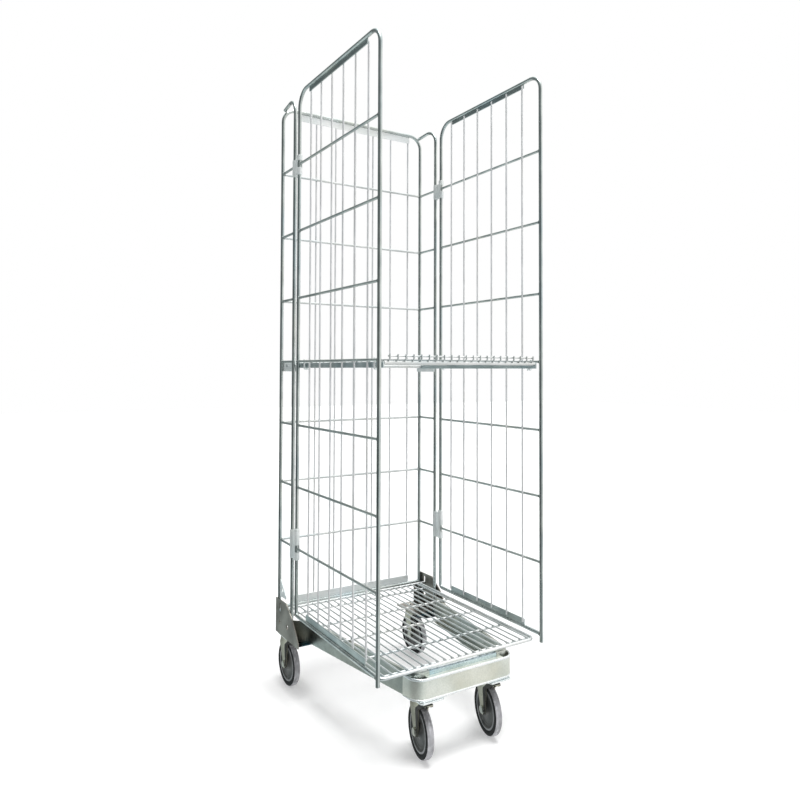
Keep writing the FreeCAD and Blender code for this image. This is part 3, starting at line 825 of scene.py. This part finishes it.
def fork_stations(axle_z):
    """Places along the strip: distance across, height, and the two parts of the outward normal."""
    heights = [axle_z - BOSS * math.cos(math.pi * k / LEG_STEPS) for k in range(LEG_STEPS // 2)]
    heights += [axle_z + (CROWN - BEND - axle_z) * k / LEG_STEPS for k in range(LEG_STEPS + 1)]
    stations = [(LEG, z, 1.0, 0.0) for z in heights]
    for k in range(1, BEND_STEPS + 1):
        t = math.pi / 2 * k / BEND_STEPS
        u = LEG - BEND + BEND * math.cos(t)
        z = CROWN - BEND + BEND * math.sin(t)
        stations.append((u, z, math.cos(t), math.sin(t)))
    stations.append((LEG / 3, CROWN, 0.0, 1.0))
    return stations + [(-u, z, -nu, nz) for u, z, nu, nz in reversed(stations)]


def fork_loop(station, kingpin, along, sideways, trail, axle_z):
    """Loop of points round the strip at one station: the outer face, then the inner face back."""
    u, z, nu, nz = station
    front, rear = fork_edges(z, trail, axle_z)
    front -= CROWN_NOSE * nz * (1 - (u / LEG) ** 2)
    crest = max(CREST, front + (rear - front) * CREST_SHARE)
    dish = between(z, [(CROWN, 10.0), (126.0, 10.0), (119.0, 2.5), (axle_z, 1.2)]) * abs(nu)
    outside, inside = [], []
    for k in range(ACROSS_STEPS + 1):
        v = front + (rear - front) * k / ACROSS_STEPS
        if v < crest:
            q = (crest - v) / (crest - front)
        else:
            q = (v - crest) / (rear - crest) * REAR_FALL
        sink = dish * q ** 2
        place = kingpin + along * v * MM
        for depth, row in ((sink, outside), (sink + FORK_SHEET, inside)):
            row.append(place + sideways * (u - nu * depth) * MM + Vector((0, 0, z - nz * depth)) * MM)
    return outside + list(reversed(inside))


def fork_material(index):
    """The second look, a near-black painted shade, for the front of the outer face and for the inner face."""
    return 1 if index < SHADED_FRONT_STEPS or ACROSS_STEPS < index <= 2 * ACROSS_STEPS else 0


def build_fork(corner):
    """Pressed fork with the ring of the swivel race on its crown."""
    joint = joints["roll_" + corner]
    wheel = Vector(joint["pos_m"])
    sideways = Vector(joint["axis"]).normalized()
    pin = Vector(joints["swivel_" + corner]["pos_m"])
    kingpin = Vector((pin.x, pin.y, 0.0))
    along = Vector((wheel.x - pin.x, wheel.y - pin.y, 0.0))
    trail = along.length / MM
    along.normalize()
    axle_z = wheel.z / MM
    loops = []
    for station in fork_stations(axle_z):
        loops.append(fork_loop(station, kingpin, along, sideways, trail, axle_z))
    bm = bmesh.new()
    skin(bm, loops, fork_material)
    ring = [((CROWN + lift) * MM, radius * MM) for lift, radius in KING_RING]
    lathe(bm, ring, kingpin, Vector((0, 0, 1)), 64)
    looks = [LOOKS["caster_steel"], FORK_PAINTED_SHADE]
    obj = piece("fork_pressing_" + corner, bm, "caster_" + corner, looks, 50.0)
    edge = obj.modifiers.new("edge", "BEVEL")
    edge.width = 0.5 * MM
    edge.segments = 2
    edge.limit_method = "ANGLE"
    edge.angle_limit = math.radians(50)
    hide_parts("fork_" + corner)


# ---- Rolled lips of the bumper ----

BUMPER_LOW, BUMPER_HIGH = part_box("front_bumper")
BUMPER_TAPER = 7.5 * MM         # the corners of the bumper's front lie this far in from its ends
BUMPER_CORNER = 34.0 * MM
LIP_SIDES = 16
LIP_INSET = 0.45                # the bead's middle lies this part of its half width inside the face
LIP_END = 0.6                   # size of its ends


def rounded_path(points, radius, steps=10):
    """Open path in plan with a true arc in place of each inner corner."""
    path = [points[0]]
    for before, here, after in zip(points, points[1:], points[2:]):
        to_before = (before - here).normalized()
        to_after = (after - here).normalized()
        half = to_before.angle(to_after) / 2
        centre = here + (to_before + to_after).normalized() * radius / math.sin(half)
        start = here + to_before * radius / math.tan(half) - centre
        end = here + to_after * radius / math.tan(half) - centre
        for k in range(steps + 1):
            path.append(centre + start.lerp(end, k / steps).normalized() * radius)
    path.append(points[-1])
    return path


def bumper_lip_highlight(name, z, wide, high):
    """Rolled edge round the bumper: an oval bead that follows its outer face."""
    outer = BUMPER_HIGH[0]
    knee = outer - BUMPER_TAPER
    front = BUMPER_LOW[1]
    rear = BUMPER_HIGH[1]
    plan = [(-outer, rear), (-knee, front), (knee, front), (outer, rear)]
    path = rounded_path([Vector((x, y, 0)) for x, y in plan], BUMPER_CORNER)
    loops = []
    for k, place in enumerate(path):
        run = (path[min(k + 1, len(path) - 1)] - path[max(k - 1, 0)]).normalized()
        side = Vector((run.y, -run.x, 0))
        size = LIP_END if k in (0, len(path) - 1) else 1.0
        loop = []
        for i in range(LIP_SIDES):
            t = 2 * math.pi * i / LIP_SIDES
            push = (math.cos(t) * size - LIP_INSET) * wide
            loop.append(place + side * push + Vector((0, 0, z + math.sin(t) * size * high)))
        loops.append(loop)
    bm = bmesh.new()
    skin(bm, loops)
    piece(name, bm, "frame", [LIP], 50.0)


def build_lips():
    bumper_lip_highlight("bumper_top_lip", BUMPER_HIGH[2] - 2.6 * MM, 2.6 * MM, 3.4 * MM)
    bumper_lip_highlight("bumper_low_lip", BUMPER_LOW[2] + 1.6 * MM, 2.4 * MM, 2.8 * MM)


# ---- Studio ----

def build_floor():
    bm = bmesh.new()
    bmesh.ops.create_grid(bm, x_segments=24, y_segments=24, size=14.0)
    mesh = bpy.data.meshes.new("studio_floor")
    bm.to_mesh(mesh)
    bm.free()
    mesh.materials.append(floor_finish("floor_paper"))
    obj = bpy.data.objects.new("studio_floor", mesh)
    obj.location.z = -0.2 * MM
    obj.visible_glossy = False
    bpy.context.collection.objects.link(obj)


def soft_sun(name, towards, spread, strength):
    """Wide even light that comes from the given direction."""
    light = bpy.data.lights.new(name, "SUN")
    light.angle = math.radians(spread)
    light.energy = strength
    obj = bpy.data.objects.new(name, light)
    obj.rotation_euler = Vector(towards).to_track_quat("Z", "Y").to_euler()
    bpy.context.collection.objects.link(obj)


class Sky:
    """The world's shader, with short calls for sums over the direction of view."""

    def __init__(self):
        world = bpy.data.worlds.new("studio")
        bpy.context.scene.world = world
        world.use_nodes = True
        self.tree = world.node_tree
        place = self.tree.nodes.new("ShaderNodeTexCoord").outputs["Generated"]
        split = self.tree.nodes.new("ShaderNodeSeparateXYZ")
        self.tree.links.new(place, split.inputs["Vector"])
        self.x, self.y, self.z = split.outputs

    def feed(self, value, socket):
        """Set a number or a colour on a socket, or join another node's output to it."""
        if isinstance(value, tuple):
            socket.default_value = (*value, 1.0)
        elif isinstance(value, float):
            socket.default_value = value
        else:
            self.tree.links.new(value, socket)

    def smooth(self, value, start, end, low, high):
        """Smooth step from low where the value is start to high where it is end."""
        node = self.tree.nodes.new("ShaderNodeMapRange")
        node.interpolation_type = "SMOOTHSTEP"
        self.feed(start, node.inputs["From Min"])
        self.feed(end, node.inputs["From Max"])
        self.feed(low, node.inputs["To Min"])
        self.feed(high, node.inputs["To Max"])
        self.feed(value, node.inputs["Value"])
        return node.outputs["Result"]

    def joined(self, operation, a, b):
        node = self.tree.nodes.new("ShaderNodeMath")
        node.operation = operation
        self.feed(a, node.inputs[0])
        self.feed(b, node.inputs[1])
        return node.outputs["Value"]

    def blend_numbers(self, factor, a, b):
        node = self.tree.nodes.new("ShaderNodeMix")
        node.data_type = "FLOAT"
        self.feed(factor, node.inputs["Factor"])
        self.feed(a, node.inputs[2])
        self.feed(b, node.inputs[3])
        return node.outputs[0]

    def blend_colours(self, factor, a, b):
        node = self.tree.nodes.new("ShaderNodeMix")
        node.data_type = "RGBA"
        self.feed(factor, node.inputs["Factor"])
        self.feed(a, node.inputs[6])
        self.feed(b, node.inputs[7])
        return node.outputs[2]

    def background(self, colour, strength):
        node = self.tree.nodes.new("ShaderNodeBackground")
        self.feed(colour, node.inputs["Color"])
        self.feed(strength, node.inputs["Strength"])
        return node.outputs["Background"]

    def choose(self, factor, a, b):
        node = self.tree.nodes.new("ShaderNodeMixShader")
        self.feed(factor, node.inputs["Fac"])
        self.feed(a, node.inputs[1])
        self.feed(b, node.inputs[2])
        return node.outputs["Shader"]


def build_lights():
    """Soft light from overhead; metal mirrors a bright wall on the right and a dark one on the left."""
    soft_sun("key", (0.02, -0.20, 1.0), 26, 2.75)
    sky = Sky()
    white = (1.0, 1.0, 1.0)
    # What metal mirrors above the horizon: the walls, and a lamp overhead.
    wall = sky.smooth(sky.x, -0.45, 0.45, 0.19, 1.15)
    overhead = sky.smooth(sky.z, 0.55, 0.95, 0.0, 0.6)
    # Below it: pale ground that darkens to the left and straight behind the object.
    lean = sky.joined("ADD", sky.x, sky.joined("MULTIPLY", sky.y, 0.25))
    beyond = sky.smooth(sky.y, 0.82, 0.93, 1.0, 0.12)
    ground = sky.joined("MULTIPLY", sky.smooth(lean, -1.0, -0.2, 0.05, 0.95), beyond)
    above = sky.smooth(sky.z, -0.12, 0.08, 0.0, 1.0)
    strength = sky.blend_numbers(above, ground, sky.joined("ADD", wall, overhead))
    # The left is cooler than the right.
    warm = sky.smooth(sky.x, -0.5, 0.4, 0.0, 1.0)
    tint = sky.blend_colours(warm, (0.85, 0.97, 0.975), (1.0, 0.995, 0.98))
    # Metal mirrors the room, other surfaces are lit evenly, and the view shows white paper.
    mirrored_room = sky.background(tint, strength)
    even_room = sky.background(white, 0.52)
    paper = sky.background(white, 1.0)
    path = sky.tree.nodes.new("ShaderNodeLightPath")
    room = sky.choose(path.outputs["Is Glossy Ray"], even_room, mirrored_room)
    shader = sky.choose(path.outputs["Is Camera Ray"], room, paper)
    sky.feed(shader, sky.tree.nodes["World Output"].inputs["Surface"])


def build_camera():
    """Camera in front and to the left, a little above half the object's height, aimed a little upwards."""
    back_y = middle("back_horizontals").y
    place = Vector((-1.008, back_y - 1.883, 0.913))
    forward = Vector((0.5222, 0.8524, 0.0264)).normalized()
    right = Vector((0.8527, -0.5225, 0.0)).normalized()
    up = right.cross(forward)
    roll = math.radians(0.21)
    turned_right = right * math.cos(roll) + up * math.sin(roll)
    up = turned_right.cross(forward)
    data = bpy.data.cameras.new("camera")
    data.sensor_width = 36.0
    data.lens = 30.75
    data.shift_x = 0.0069
    data.shift_y = -0.06
    data.clip_end = 60.0
    obj = bpy.data.objects.new("camera", data)
    bpy.context.collection.objects.link(obj)
    basis = Matrix((turned_right, up, -forward)).transposed()
    obj.matrix_world = Matrix.Translation(place) @ basis.to_4x4()
    bpy.context.scene.camera = obj


build_camera()
dress_cad_nodes()
build_welds()
for corner in CORNERS:
    build_wheel(corner)
    build_fork(corner)
build_lips()
build_floor()
build_lights()
bpy.context.scene.view_settings.view_transform = "Standard"
